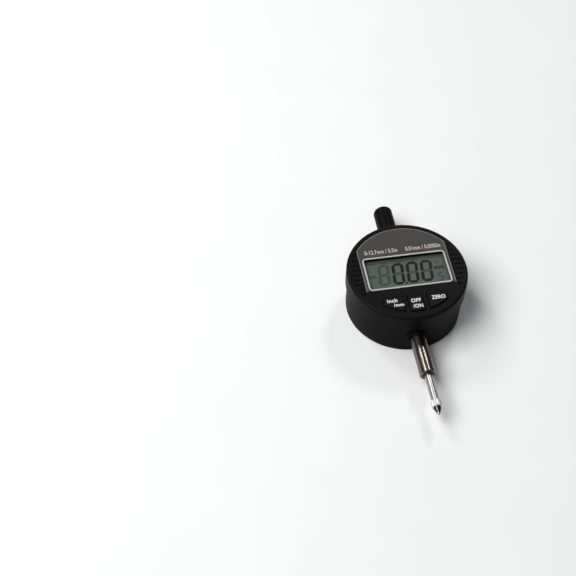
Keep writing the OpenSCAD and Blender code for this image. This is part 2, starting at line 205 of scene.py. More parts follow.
def turned(stations, segments=96, tube=False, spot=(0, 0, 0), lies_along_y=False):
    """A turned solid: the ring at the first (place, radius) is extruded on to each next one.
    A tube's outline comes back to where it started. Radii are never zero."""
    clear_selection()
    place, radius = stations[0]
    fill = "NOTHING" if tube else "NGON"
    shape = {"vertices": segments, "radius": radius, "fill_type": fill}
    bpy.ops.mesh.primitive_circle_add(location=(0, 0, place), **shape)
    bpy.ops.object.transform_apply(location=True)
    bpy.ops.object.mode_set(mode="EDIT")
    bpy.ops.mesh.select_all(action="SELECT")
    for (z0, r0), (z1, r1) in zip(stations, stations[1:]):
        bpy.ops.mesh.extrude_region_move(TRANSFORM_OT_translate={"value": (0, 0, z1 - z0)})
        bpy.ops.transform.resize(value=(r1 / r0, r1 / r0, 1), center_override=(0, 0, z1))
    bpy.ops.mesh.select_all(action="SELECT")
    bpy.ops.mesh.remove_doubles(threshold=0.002 * mm)
    bpy.ops.mesh.normals_make_consistent(inside=False)
    piece = settle()
    if lies_along_y:
        piece.rotation_euler = (-pi / 2, 0, 0)
    piece.location = spot
    return settle_object(piece)


def settle_object(piece):
    clear_selection()
    piece.select_set(True)
    bpy.context.view_layer.objects.active = piece
    bpy.ops.object.transform_apply(location=True, rotation=True, scale=True)
    return piece


def arc(centre_z, centre_r, radius, start, end, steps=6):
    """Stations of a rounded corner, from one angle to another; 0 points out and 90 up."""
    turn = [radians(start + (end - start) * i / steps) for i in range(steps + 1)]
    return [(centre_z + radius * sin(a), centre_r + radius * cos(a)) for a in turn]


def block(low, high):
    """A box between two corners."""
    clear_selection()
    middle = [(a + b) / 2 for a, b in zip(low, high)]
    bpy.ops.mesh.primitive_cube_add(size=1, location=middle)
    piece = bpy.context.object
    piece.scale = [b - a for a, b in zip(low, high)]
    return settle_object(piece)


def done(piece, name, body, material, smooth=35, stands_for=()):
    """Names the piece, smooths it, gives it its finish and lets it ride on its body."""
    clear_selection()
    piece.name = name
    piece.data.name = name
    piece.select_set(True)
    bpy.context.view_layer.objects.active = piece
    bpy.ops.object.shade_smooth_by_angle(angle=radians(smooth))
    modify(piece, "WEIGHTED_NORMAL", keep_sharp=True)
    piece.data.materials.clear()
    piece.data.materials.append(material)
    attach(piece, body)
    if stands_for:
        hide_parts(*stands_for)
    return piece


def dress(material, *names):
    """Gives CAD nodes a finish."""
    for name in names:
        for held in nodes[name].material_slots:
            held.material = material


rear_paint = black_paint("rear housing black paint", 0.28 * mm)
dress(rear_paint, "rear_housing")

# ------------------------------------------------------------------------ stem
# The stem is a steel tube, 8 mm across and ground bright, pressed into the housing. Fine
# grinding rings run round it, and its lower end has a small chamfer.
stem_low, stem_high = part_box("stem")
axis_z = (stem_low.z + stem_high.z) / 2
stem_r = (stem_high.z - stem_low.z) / 2
stem_root = -30.5 * mm
stem_tail_r = 3.6 * mm
stem_bore_r = 2.9 * mm
chamfer = 0.35 * mm


def ground_steel(name, colour, rough):
    """Bright steel with fine rings round the axis and a faint oily cloudiness."""
    steel = Finish(name, Metallic=1.0)
    rings = steel.grain(0.3 * mm, 3, (0.03, 1, 0.03))
    cloud = steel.grain(3.5 * mm, 3)
    dull = (colour[0] * 0.92, colour[1] * 0.91, colour[2] * 0.89, 1)
    steel.drive("Base Color", steel.tint(cloud.between(0.35, 0.75), colour, dull))
    steel.drive("Roughness", rough + 0.07 * rings + 0.04 * cloud)
    steel.relief(rings, 0.0003 * mm)
    return steel.material


stem_outline = [
    (stem_low.y + 0.2 * mm, stem_bore_r),
    (stem_low.y, stem_bore_r + 0.2 * mm),
    (stem_low.y, stem_r - chamfer),
    (stem_low.y + chamfer, stem_r),
    (stem_root, stem_r),
    (stem_root, stem_tail_r),
    (stem_high.y, stem_tail_r),
    (stem_high.y, stem_bore_r),
    (stem_low.y + 0.2 * mm, stem_bore_r),
]
line_up = (0, 0, axis_z)
stem = rounded(turned(stem_outline, 128, True, line_up, True), 0.06 * mm, 2)
# The stem's colour is far darker and browner than ground steel: painted shade standing in for the dark
# surroundings it mirrors.
stem_steel = ground_steel("ground stem steel", (0.19, 0.173, 0.147, 1), 0.18)
done(stem, "stem_tube", "case", stem_steel, 30, ["stem"])

# ---------------------------------------------------------------------- bushes
# Two bronze bushes guide the spindle: one in the stem's lower end, one in the top of the
# housing. The upper one has a flange and the thread for the dust cap.
bronze = Finish("turned bronze", Metallic=1.0)
bronze_lines = bronze.grain(0.09 * mm, 2, (0.04, 1, 0.04))
bronze_cloud = bronze.grain(2 * mm, 3)
# The bronze is darkened well below its own colour: painted shade for the shadowed bore at the stem's
# lower end.
bronze.drive("Base Color", bronze.tint(bronze_cloud, (0.06, 0.047, 0.031, 1), (0.1, 0.08, 0.055, 1)))
bronze.drive("Roughness", 0.24 + 0.14 * bronze_lines)
bronze.relief(bronze_lines, 0.002 * mm)
lower_low, lower_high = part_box("lower_bush")
lower_r = (lower_high.z - lower_low.z) / 2
spindle_low, spindle_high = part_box("spindle")
spindle_r = (spindle_high.z - spindle_low.z) / 2
run_r = spindle_r + 0.05 * mm
lower_outline = [
    (lower_low.y, run_r + 0.35 * mm),
    (lower_low.y, lower_r),
    (lower_high.y, lower_r),
    (lower_high.y, run_r),
    (lower_low.y + 0.35 * mm, run_r),
    (lower_low.y, run_r + 0.35 * mm),
]
lower_bush = turned(lower_outline, 96, True, line_up, True)
done(lower_bush, "lower_guide_bush", "case", bronze.material, 30, ["lower_bush"])
dress(bronze.material, "upper_bush")

# --------------------------------------------------------------------- spindle
# The spindle is a hardened 4 mm rod, ground and lapped. It slides in the two bushes, and
# its lower end is drilled and tapped for the contact point.
spindle_outline = [
    (spindle_low.y + 5 * mm, 1.05 * mm),
    (spindle_low.y, 1.05 * mm),
    (spindle_low.y, spindle_r - 0.2 * mm),
    (spindle_low.y + 0.2 * mm, spindle_r),
    (spindle_high.y - 0.5 * mm, spindle_r),
    (spindle_high.y, spindle_r - 0.5 * mm),
]
spindle = turned(spindle_outline, 96, False, line_up, True)
spindle_steel = ground_steel("lapped spindle steel", (0.5, 0.485, 0.455, 1), 0.24)
done(spindle, "spindle_rod", "spindle_group", spindle_steel, 30, ["spindle"])

# --------------------------------------------------------------- contact point
# The contact point screws into the spindle. Its head is knurled for the fingers, then a
# turned cone narrows to the seat of a polished ball, which touches the work.
point_low, point_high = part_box("contact_point")
ball_low, ball_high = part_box("contact_ball")
head_r = (point_high.z - point_low.z) / 2
head_top = spindle_low.y - 0.05 * mm
head_bottom = spindle_low.y - 3.9 * mm
ball_r = (ball_high.z - ball_low.z) / 2
ball_y = (ball_low.y + ball_high.y) / 2
knurl_teeth = 26
knurl_depth = 0.16 * mm


def knurled_head():
    """A drum whose side is cut into pyramids by two crossing sets of grooves."""
    rows = 30
    length = head_top - head_bottom
    body = [(head_bottom + length * i / rows, head_r) for i in range(rows + 1)]
    ends = [(head_bottom, 1.9 * mm)] + body + [(head_top, 1.2 * mm)]
    drum = turned(ends, knurl_teeth * 8, False, line_up, True)
    for point in drum.data.vertices:
        across = Vector((point.co.x, 0, point.co.z - axis_z))
        if across.length < head_r * 0.98:
            continue
        along = (point.co.y - head_bottom) / length
        angle = degrees(Vector((0, 1)).angle_signed(Vector((across.x, across.z))))
        edge = min(along, 1 - along) * length
        wave = [sin(radians(knurl_teeth * angle) + s * 2 * pi * 3 * along) for s in (-1, 1)]
        tooth = min(max(wave[0], -0.6), max(wave[1], -0.6))
        depth = knurl_depth * (0.6 - 0.55 * tooth)
        if edge < 0.2 * mm:
            depth = 0.3 * mm
        point.co -= across.normalized() * depth
    return drum


def tool_steel(name, level, rough, size):
    steel = Finish(name, Metallic=1.0)
    marks = steel.grain(size, 3)
    steel.drive("Base Color", steel.tint(marks, grey(level * 0.8, 0.03), grey(level, 0.02)))
    steel.drive("Roughness", rough + 0.2 * marks)
    steel.relief(marks, 0.004 * mm)
    return steel.material


cone_outline = [
    (head_bottom + 0.1 * mm, 1.7 * mm),
    (head_bottom - 0.25 * mm, 1.95 * mm),
    (head_bottom - 0.6 * mm, 1.9 * mm),
    (ball_y + 0.35 * mm, ball_r + 0.02 * mm),
    (ball_y + 0.05 * mm, ball_r - 0.04 * mm),
]
# The cone's steel is near black: painted shade standing in for the dark surroundings it mirrors.
point_steel = tool_steel("contact point steel", 0.07, 0.18, 0.3 * mm)
knurl_steel = tool_steel("knurled head steel", 0.72, 0.34, 0.2 * mm)
cone = rounded(turned(cone_outline, 96, False, line_up, True), 0.05 * mm, 2, 20)
done(cone, "contact_cone", "spindle_group", point_steel, 40, ["contact_point"])
done(knurled_head(), "contact_knurled_head", "spindle_group", knurl_steel, 20, ())
stud_r = 1 * mm
stud_outline = [
    (spindle_low.y - 0.1 * mm, stud_r),
    (point_high.y - 0.3 * mm, stud_r),
    (point_high.y, stud_r - 0.3 * mm),
]
stud = turned(stud_outline, 48, False, line_up, True)
done(stud, "contact_stud", "spindle_group", point_steel, 30, ())
ball_steel = tool_steel("polished ball steel", 0.5, 0.05, 0.5 * mm)
dress(ball_steel, "contact_ball")

# ------------------------------------------------------------ carrier and scale
# A milled aluminium block is clamped on the spindle with two set screws. It carries the
# scale strip, which faces the sensor plate, and the pin that stops the spindle turning.
milled = Finish("milled aluminium", Metallic=1.0)
mill_marks = milled.grain(0.2 * mm, 2, (1, 0.08, 1))
milled.drive("Base Color", milled.tint(mill_marks, grey(0.52), grey(0.68)))
milled.drive("Roughness", 0.28 + 0.2 * mill_marks)
milled.relief(mill_marks, 0.01 * mm)
dress(milled.material, "scale_carrier", "guide_rail")
laminate = Finish("green laminate", Coat_Weight=0.4, Coat_Roughness=0.2)
weave_x, weave_y = laminate.xyz()[:2]
weave = weave_x.wave(0.8 * mm) * weave_y.wave(0.8 * mm)
board_cloud = laminate.grain(4 * mm, 2)
greens = [(0.01, 0.09, 0.03, 1), (0.02, 0.16, 0.06, 1)]
laminate.drive("Base Color", laminate.tint(board_cloud + 0.15 * weave, *greens))
laminate.drive("Roughness", 0.32 + 0.15 * board_cloud)
laminate.relief(weave, 0.008 * mm)
dress(laminate.material, "scale_strip", "sensor_board", "main_board")
drawn_steel = tool_steel("drawn steel", 0.5, 0.22, 0.25 * mm)
black_steel = tool_steel("blackened steel", 0.06, 0.3, 0.3 * mm)
dress(drawn_steel, "guide_pin")
dress(black_steel, "carrier_screws")

# --------------------------------------------------------------- return spring
# A steel spring is wound round the spindle between the carrier and the upper bush. It
# presses the spindle out; in the real gauge it shortens as the spindle is pushed in, but here it is a
# fixed coil on the case.
spring_low, spring_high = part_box("return_spring")
wire_r = 0.2 * mm
coil_r = spring_high.x - wire_r
coil_turns = 11
coil_steps = 32
clear_selection()
bpy.ops.mesh.primitive_circle_add(vertices=10, radius=wire_r)
spring = bpy.context.object
spring.location = (coil_r, 0, 0)
spring.rotation_euler = (pi / 2, 0, 0)
settle_object(spring)
pitch = (spring_high.y - spring_low.y - 2 * wire_r) / coil_turns
winding = {"angle": 2 * pi, "screw_offset": pitch, "iterations": coil_turns}
modify(spring, "SCREW", axis="Z", steps=coil_steps, render_steps=coil_steps, **winding)
bpy.ops.object.mode_set(mode="EDIT")
bpy.ops.mesh.select_all(action="SELECT")
bpy.ops.mesh.fill_holes(sides=0)
bpy.ops.mesh.normals_make_consistent(inside=False)
spring = settle()
spring.rotation_euler = (-pi / 2, 0, 0)
spring.location = (0, spring_low.y + wire_r, axis_z)
settle_object(spring)
done(spring, "return_spring_coil", "case", drawn_steel, 40, ["return_spring"])
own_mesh(spring)

# ----------------------------------------------------------------- electronics
# The round board carries the controller under a drop of resin, the timing crystal and the
# display. The sensor plate hangs under it on four nylon spacers and a pin header.
resin = Finish("poured resin", Coat_Weight=0.6, Coat_Roughness=0.08)
resin.drive("Base Color", resin.tint(resin.grain(1.5 * mm), grey(0.006), grey(0.014)))
resin.drive("Roughness", 0.2 + 0.15 * resin.grain(0.8 * mm))
resin.relief(resin.grain(2 * mm), 0.05 * mm)
nylon = Finish("natural nylon", Subsurface_Weight=0.15)
nylon.drive("Base Color", nylon.tint(nylon.grain(2 * mm), (0.62, 0.6, 0.53, 1), (0.72, 0.7, 0.64, 1)))
nylon.drive("Roughness", 0.4 + 0.15 * nylon.grain(0.5 * mm))
nylon.relief(nylon.grain(0.4 * mm), 0.01 * mm)
zinc = Finish("zinc plated screws", Metallic=1.0)
zinc_cloud = zinc.grain(0.6 * mm, 4)
zinc.drive("Base Color", zinc.tint(zinc_cloud, (0.42, 0.44, 0.46, 1), (0.6, 0.6, 0.56, 1)))
zinc.drive("Roughness", 0.2 + 0.25 * zinc_cloud)
zinc.relief(zinc_cloud, 0.008 * mm)
gold_plate = Finish("plated contact strip", Metallic=1.0)
gold_cloud = gold_plate.grain(0.5 * mm, 3)
gold_plate.drive("Base Color", gold_plate.tint(gold_cloud, (0.6, 0.42, 0.16, 1), (0.72, 0.54, 0.25, 1)))
gold_plate.drive("Roughness", 0.2 + 0.15 * gold_cloud)
dark_moulding = Finish("dark moulded plastic", Specular_IOR_Level=0.4)
dark_cloud = dark_moulding.grain(4 * mm)
dark_moulding.drive("Base Color", dark_moulding.tint(dark_cloud, grey(0.012), grey(0.02)))
dark_moulding.drive("Roughness", 0.4 + 0.2 * dark_moulding.grain(0.4 * mm))
dark_moulding.relief(dark_moulding.grain(0.2 * mm), 0.01 * mm)
silicone = Finish("silicone rubber", Subsurface_Weight=0.1)
silicone.drive("Base Color", silicone.tint(silicone.grain(3 * mm), grey(0.2), grey(0.27)))
silicone.drive("Roughness", 0.5 + 0.2 * silicone.grain(0.3 * mm))
silicone.relief(silicone.grain(0.25 * mm), 0.02 * mm)
zebra = Finish("layered strip rubber", Roughness=0.6)
zebra_layers = 0.5 + 0.5 * zebra.xyz()[0].wave(0.3 * mm)
zebra.drive("Base Color", zebra.tint(zebra_layers, (0.55, 0.2, 0.3, 1), (0.05, 0.03, 0.04, 1)))
dress(resin.material, "controller_chip")
dress(nylon.material, "board_spacers", "stop_washer")
dress(zinc.material, "board_screws", "case_screws", "rail_screws", "quartz_crystal", "battery_cell")
dress(gold_plate.material, "battery_contact_plus", "battery_contact_minus")
dress(dark_moulding.material, "display_holder", "board_connector", "battery_holder")
dress(silicone.material, "keypad_membrane")
dress(zebra.material, "zebra_strips")

# --------------------------------------------------------------------- display
# A reflective liquid crystal glass, grey-green and slightly uneven. Its figures are seven
# slanted bars each; the ones that are off still show as a faint grey.
glass_low, glass_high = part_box("lcd_glass")
lcd = Finish("grey green display", Specular_IOR_Level=0.12)
# Painted shade: the display colour darkens towards its top edge, where the window's rim shades it.
painted_top_shade = lcd.xyz()[1].between(5.5 * mm, 9.5 * mm)
lcd_base = lcd.tint(lcd.grain(14 * mm, 2), (0.068, 0.088, 0.074, 1), (0.079, 0.101, 0.085, 1))
lcd.drive("Base Color", lcd.tint(painted_top_shade * 0.4, lcd_base, (0.045, 0.055, 0.05, 1)))
lcd.drive("Roughness", 0.36 + 0.1 * lcd.grain(0.2 * mm))
panel = rounded(block(glass_low, glass_high), 0.15 * mm, 2)
done(panel, "display_panel", "case", lcd.material, 30, ["lcd_glass"])

figure_w = 6.1 * mm
figure_h = 13.4 * mm
figure_pitch = 7.2 * mm
figure_y = 0.25 * mm
bar_w = 1.62 * mm
bar_gap = 0.12 * mm
slant = 0.105
ink_z = glass_high.z + 0.012 * mm


def bar(x, y, length, width, upright):
    """One long hexagon, lying across or standing up."""
    clear_selection()
    bpy.ops.mesh.primitive_circle_add(vertices=6, radius=width, fill_type="NGON")
    piece = bpy.context.object
    for point in piece.data.vertices:
        point.co.x *= 0.577
        point.co.y += (length / 2 - width) * (1 if point.co.y > 0 else -1)
    piece.rotation_euler.z = 0 if upright else pi / 2
    piece.location = (x, y, 0)
    return settle_object(piece)


def joined(parts):
    clear_selection()
    for part in parts:
        part.select_set(True)
    bpy.context.view_layer.objects.active = parts[0]
    bpy.ops.object.join()
    return bpy.context.object


def figure(lit, width=figure_w, height=figure_h, thick=bar_w):
    """The bars named in lit, of one figure centred on the origin: a is the top one, b to f
    run clockwise from it and g is the middle one."""
    half_w = (width - thick) / 2
    half_h = (height - thick) / 2
    tall = half_h - bar_gap
    wide = 2 * half_w - bar_gap
    places = {
        "a": (0, half_h, wide, False), "g": (0, 0, wide, False), "d": (0, -half_h, wide, False),
        "f": (-half_w, half_h / 2, tall, True), "b": (half_w, half_h / 2, tall, True),
        "e": (-half_w, -half_h / 2, tall, True), "c": (half_w, -half_h / 2, tall, True),
    }
    return [bar(x, y, length, thick, up) for x, y, length, up in (places[k] for k in lit)]


def printed(parts, x, y, z, thickness, lean=0.0):
    """Joins flat shapes, leans them over, gives them a thickness and puts them in place."""
    piece = joined(parts)
    piece.data.transform(Matrix(((1, lean, 0, x), (0, 1, 0, y), (0, 0, 1, z), (0, 0, 0, 1))))
    return modify(piece, "SOLIDIFY", thickness=thickness, offset=1)


def display_ink(name, colour):
    ink = Finish(name, Specular_IOR_Level=0.1, Roughness=0.4)
    ink.drive("Base Color", ink.tint(ink.grain(3 * mm), colour, [c * 1.25 for c in colour[:3]] + [1]))
    return ink.material


dark_ink = display_ink("display figure on", (0.002, 0.0035, 0.0028, 1))
faint_ink = display_ink("display figure off", (0.036, 0.047, 0.04, 1))
figure_places = [-11.4 * mm + i * figure_pitch for i in range(4)]
for number, x in enumerate(figure_places):
    off = printed(figure("abcdefg" if number == 0 else "g"), x, figure_y, ink_z, 0.01 * mm, slant)
    done(off, f"display_figure_off_{number + 1}", "case", faint_ink, 30, ())
    if number:
        on = printed(figure("abcdef"), x, figure_y, ink_z, 0.01 * mm, slant)
        done(on, f"display_figure_on_{number + 1}", "case", dark_ink, 30, ())
clear_selection()
bpy.ops.mesh.primitive_circle_add(vertices=32, radius=0.65 * mm, fill_type="NGON")
point = printed([bpy.context.object], figure_places[1] + 2.95 * mm, -6.1 * mm, ink_z, 0.01 * mm)
done(point, "display_point", "case", dark_ink, 30, ())
minus = printed([bar(0, 0, 3.8 * mm, 1.5 * mm, False)], -16.9 * mm, 0, ink_z, 0.01 * mm, slant)
done(minus, "display_minus_off", "case", faint_ink, 30, ())
signs = [bar(x * mm, 0, 3 * mm, 0.8 * mm, False) for x in (-16.5, -9.3, -2.1, 5.1)]
signs = printed(signs, 0, 7.9 * mm, ink_z, 0.01 * mm)
done(signs, "display_signs_off", "case", faint_ink, 30, ())
small = figure("acdfg", 3.4 * mm, 5.4 * mm, 1.05 * mm)
small = printed(small, 16.3 * mm, -4.2 * mm, ink_z, 0.01 * mm, slant)
done(small, "display_small_five_off", "case", faint_ink, 30, ())


def lettering(words, x, y, z, width, height, lean=0.0, bold=0.018):
    """Words in a plain bold face, fitted to a width and a height about their centre."""
    clear_selection()
    bpy.ops.object.text_add()
    bpy.context.object.data.body = words
    bpy.context.object.data.offset = bold
    bpy.context.object.data.space_character = 1.06
    bpy.ops.object.convert(target="MESH")
    piece = bpy.context.object
    low, high = (Vector(f(p.co[i] for p in piece.data.vertices) for i in range(3)) for f in (min, max))
    grow = (width / (high.x - low.x), height / (high.y - low.y))
    move = [-(low[i] + high[i]) / 2 * grow[i] for i in range(2)]
    rows = ((grow[0], 0, 0, move[0]), (0, grow[1], 0, move[1]), (0, 0, 1, 0), (0, 0, 0, 1))
    piece.data.transform(Matrix(rows))
    bpy.ops.object.mode_set(mode="EDIT")
    bpy.ops.mesh.select_all(action="SELECT")
    bpy.ops.mesh.dissolve_limited(angle_limit=radians(1))
    bpy.ops.object.mode_set(mode="OBJECT")
    return printed([piece], x, y, z, 0.015 * mm, lean)


unit_sign = lettering("mm", 16.6 * mm, 1.2 * mm, ink_z, 4.9 * mm, 2.1 * mm, slant, 0.03)
done(unit_sign, "display_unit_sign", "case", dark_ink, 30, ())
inch_sign = lettering("in", 16.4 * mm, 5.2 * mm, ink_z, 2.8 * mm, 2.2 * mm, slant, 0.03)
done(inch_sign, "display_inch_sign_off", "case", faint_ink, 30, ())

# ----------------------------------------------------------------- window pane
# A clear acrylic pane is glued behind the window. It is polished, so it only shows where
# it mirrors a lamp.
pane_low, pane_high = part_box("window_lens")
clear = Finish("clear acrylic", Metallic=1.0, Roughness=0.03, Base_Color=(1, 1, 1, 1))
facing = clear.node("ShaderNodeLayerWeight", {}, {"Blend": 0.5}, 1)
clear.drive("Alpha", 0.03 + 0.97 * facing.sum("POWER", facing, 5))


def round_block(low, high, radius, segments=8):
    """A box whose upright edges are rounded."""
    piece = block(low, high)
    bpy.ops.object.mode_set(mode="EDIT")
    bpy.ops.mesh.select_mode(type="EDGE")
    bpy.ops.mesh.select_all(action="DESELECT")
    bpy.ops.object.mode_set(mode="OBJECT")
    points = piece.data.vertices
    for edge in piece.data.edges:
        first, second = (points[i].co for i in edge.vertices)
        edge.select = abs(first.z - second.z) > 0.5 * (high[2] - low[2])
    bpy.ops.object.mode_set(mode="EDIT")
    bpy.ops.mesh.bevel(offset=radius, segments=segments)
    return settle()


pane = rounded(round_block(pane_low, pane_high, 0.8 * mm), 0.08 * mm, 2)
done(pane, "window_pane", "case", clear.material, 30, ["window_lens"])

# --------------------------------------------------------------- front housing
# The front is one black moulding: a deep rim with a rounded edge, a sunk face with ribbed
# flanks, the window and the three key openings. Its surface has a fine spark-eroded grain.
front_low, front_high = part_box("front_housing")
front_r = front_high.x
rim_in = front_r - 2.6 * mm
face_z = front_high.z - 0.4 * mm
plate_z = face_z - 2 * mm
rim_round = 1.2 * mm
window_half = (20.1 * mm, 9.4 * mm)
key_arc = 25.5 * mm
key_top = 15.7 * mm
key_spans = {
    "unit_key": (-16 * mm, -6 * mm),
    "power_key": (-3.7 * mm, 3.7 * mm),
    "zero_key": (6 * mm, 16 * mm),
}


def key_shape(span, grow, z0, z1):
    """A drum cut down to one key's outline: straight at the top and sides, round below."""
    drum = turned([(z0, key_arc + grow), (z1, key_arc + grow)], 256)
    low = (span[0] - grow, -front_r, z0 - 1 * mm)
    high = (span[1] + grow, -key_top + grow, z1 + 1 * mm)
    return cut(drum, block(low, high), how="INTERSECT")


def black_moulding(name, level, size, depth):
    """Satin black plastic: fine grain, faint flow clouding and a little dust in the grain."""
    plastic = Finish(name, Specular_IOR_Level=0.05)
    cloud = plastic.grain(11 * mm, 3)
    dust = plastic.grain(0.22 * mm, 5).between(0.64, 0.78)
    base = plastic.tint(cloud, grey(level * 0.8), grey(level * 1.25, 0.02))
    plastic.drive("Base Color", plastic.tint(dust * 0.2, base, grey(0.05, 0.02)))
    fine = plastic.grain(size, 3)
    plastic.drive("Roughness", 0.32 + 0.12 * cloud + 0.1 * fine)
    plastic.relief(fine, depth)
    return plastic.material


shell_outline = [(plate_z, rim_in), (front_low.z, rim_in), (front_low.z, front_r - 0.15 * mm)]
shell_outline += [(front_low.z + 0.15 * mm, front_r)]
shell_outline += arc(front_high.z - rim_round, front_r - rim_round, rim_round, 0, 90, 8)
shell_outline += arc(front_high.z - 0.2 * mm, rim_in + 0.25 * mm, 0.2 * mm, 90, 180, 3)
shell_outline += [(face_z, rim_in)]
front = turned(shell_outline, 256)
for span in key_spans.values():
    hole = rounded(key_shape(span, 0, plate_z - 1 * mm, face_z + 1 * mm), 0.5 * mm, 4)
    flare = rounded(key_shape(span, 0.3 * mm, face_z - 0.3 * mm, face_z + 2 * mm), 0.3 * mm, 3)
    cut(front, hole, flare)
window_low = (-window_half[0], -window_half[1], plate_z - 1 * mm)
window_high = (window_half[0], window_half[1], face_z + 1 * mm)
cut(front, round_block(window_low, window_high, 1 * mm))
pocket_low = (pane_low.x - 0.15 * mm, pane_low.y - 0.15 * mm, plate_z - 1 * mm)
pocket_high = (pane_high.x + 0.15 * mm, pane_high.y + 0.15 * mm, plate_z + 1 * mm)
cut(front, round_block(pocket_low, pocket_high, 0.8 * mm))
rib_pitch = 3 * mm
rib_count = 8
rib_half = 0.95 * mm
rib_limit = rim_in + 0.2 * mm
for side in (-1, 1):
    reach = sorted((side * 22.9 * mm, side * 29 * mm))
    start = -(rib_count - 1) / 2 * rib_pitch
    rib_low = (reach[0], start - rib_half, face_z - 0.5 * mm)
    rib_high = (reach[1], start + rib_half, front_high.z)
    rib = block(rib_low, rib_high)
    modify(rib, "ARRAY", count=rib_count, use_relative_offset=False, use_constant_offset=True,
           constant_offset_displace=(0, rib_pitch, 0))
    drum = turned([(face_z - 1 * mm, rib_limit), (front_high.z + 1 * mm, rib_limit)], 256)
    cut(rib, drum, how="INTERSECT")
    cut(front, rounded(rib, 0.18 * mm, 2), how="UNION")
front_plastic = black_moulding("front housing black plastic", 0.0042, 0.16 * mm, 0.012 * mm)
done(front, "front_shell", "case", front_plastic, 30, ["front_housing"])

# ----------------------------------------------------------------------- label
# A warm grey printed film fills the face above and beside the window. A thin paler line
# runs along its edge, and the range and the resolution are printed over the window.
label_low, label_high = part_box("face_label")
label_r = rim_in - 0.15 * mm
label_side = label_high.x
line_w = 0.4 * mm
film = Finish("warm grey label film", Specular_IOR_Level=0.12)
film_x = film.xyz()[0]
film_flat = film.stretched((1, 1, 0))
from_centre = film.node("ShaderNodeVectorMath", {"operation": "LENGTH"}, {0: film_flat}, 1)
arc_line = from_centre.between(label_r - line_w, label_r - line_w + 0.05 * mm)
side_line = film_x.sum("ABSOLUTE", film_x).between(label_side - line_w, label_side - line_w + 0.05 * mm)
film_cloud = film.grain(6 * mm, 3)
film_base = film.tint(film_cloud, (0.04, 0.0385, 0.0335, 1), (0.05, 0.0485, 0.042, 1))
film_fleck = film.grain(0.12 * mm, 2).between(0.55, 0.8)
film_base = film.tint(film_fleck * 0.15, film_base, (0.14, 0.14, 0.13, 1))
edge_line = arc_line.sum("MAXIMUM", arc_line, side_line)
film.drive("Base Color", film.tint(edge_line * 0.75, film_base, grey(0.2, 0.03)))
film.drive("Roughness", 0.4 + 0.12 * film_cloud)
film.relief(film.grain(0.1 * mm), 0.004 * mm)
edge = 0.03 * mm
sheet_outline = [(face_z, label_r), (label_high.z - edge, label_r), (label_high.z, label_r - edge)]
label = turned(sheet_outline, 256)
sheet_low = (-label_side, label_low.y, face_z - 1 * mm)
sheet_high = (label_side, front_r, face_z + 1 * mm)
cut(label, block(sheet_low, sheet_high), how="INTERSECT")
line_low, line_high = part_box("display_frame")
line_inset = Vector((0.12 * mm, 0.12 * mm, 0))
line_low = line_low + line_inset
line_high = line_high - line_inset
gap = 0.15 * mm
label_cut_low = (line_low.x - gap, line_low.y - gap - 1 * mm, face_z - 1 * mm)
label_cut_high = (line_high.x + gap, line_high.y + gap, face_z + 1 * mm)
cut(label, round_block(label_cut_low, label_cut_high, 2 * mm))
done(label, "label_film", "case", film.material, 30, ["face_label"])


def marking_ink(name, colour):
    """Screen-printed ink, thinner in places."""
    ink = Finish(name, Specular_IOR_Level=0.3)
    thin = ink.grain(0.25 * mm, 3).between(0.3, 0.65)
    ink.drive("Base Color", ink.tint(thin, [c * 0.72 for c in colour[:3]] + [1], colour))
    ink.drive("Roughness", 0.5 + 0.15 * thin)
    return ink.material


label_ink = marking_ink("rose white ink", (0.55, 0.44, 0.4, 1))
range_sign = lettering("0-12.7mm / 0.5in", -10.4 * mm, 13.6 * mm, label_high.z, 16.6 * mm, 2.6 * mm)
done(range_sign, "range_marking", "case", label_ink, 30, ())
step_sign = lettering("0.01mm / 0.0005in", 11 * mm, 13.6 * mm, label_high.z, 17.8 * mm, 2.6 * mm)
done(step_sign, "resolution_marking", "case", label_ink, 30, ())

# --------------------------------------------------------------- display frame
# A bright satin line with rounded corners frames the window and stands a little proud.
silver = Finish("satin silver line", Metallic=0.6)
silver_grain = silver.grain(0.1 * mm, 3)
silver.drive("Base Color", silver.tint(silver.grain(5 * mm), grey(0.38, 0.01), grey(0.45, 0.01)))
silver.drive("Roughness", 0.45 + 0.15 * silver_grain)
silver.relief(silver_grain, 0.003 * mm)
line = round_block(line_low, line_high, 2 * mm)
window_high = (window_half[0], window_half[1], front_high.z + 1 * mm)
cut(line, round_block(window_low, window_high, 1 * mm))
rounded(line, 0.1 * mm, 2)
done(line, "silver_line", "case", silver.material, 30, ["display_frame"])

# ------------------------------------------------------------------------ keys
# Three moulded rubber keys stand in their openings. Each has a soft rounded edge, a fine
# matt grain and its word printed in white.
key_low, key_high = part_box("zero_key")
rubber = Finish("black key rubber", Specular_IOR_Level=0.08)
rubber_cloud = rubber.grain(3 * mm, 3)
lint = rubber.grain(0.15 * mm, 4).between(0.66, 0.8)
rubber_base = rubber.tint(rubber_cloud, grey(0.005), grey(0.008))
rubber.drive("Base Color", rubber.tint(lint * 0.5, rubber_base, grey(0.1)))
rubber.drive("Roughness", 0.55 + 0.2 * rubber_cloud)
rubber.relief(rubber.grain(0.14 * mm, 3), 0.02 * mm)
key_gap = 0.25 * mm
foot_r = 1.6 * mm
key_words = {
    "unit_key": [
        ("inch", -11.5 * mm, -17.9 * mm, 5 * mm, 2.2 * mm),
        ("/mm", -8.8 * mm, -20.7 * mm, 5 * mm, 2 * mm),
    ],
    "power_key": [
        ("OFF", 0, -19.2 * mm, 4.9 * mm, 2.2 * mm),
        ("/ON", 0.3 * mm, -22.6 * mm, 4.8 * mm, 2.2 * mm),
    ],
    "zero_key": [
        ("ZERO", 11.3 * mm, -18.7 * mm, 6.8 * mm, 2.3 * mm),
    ],
}
key_ink = marking_ink("white key ink", (0.82, 0.82, 0.82, 1))
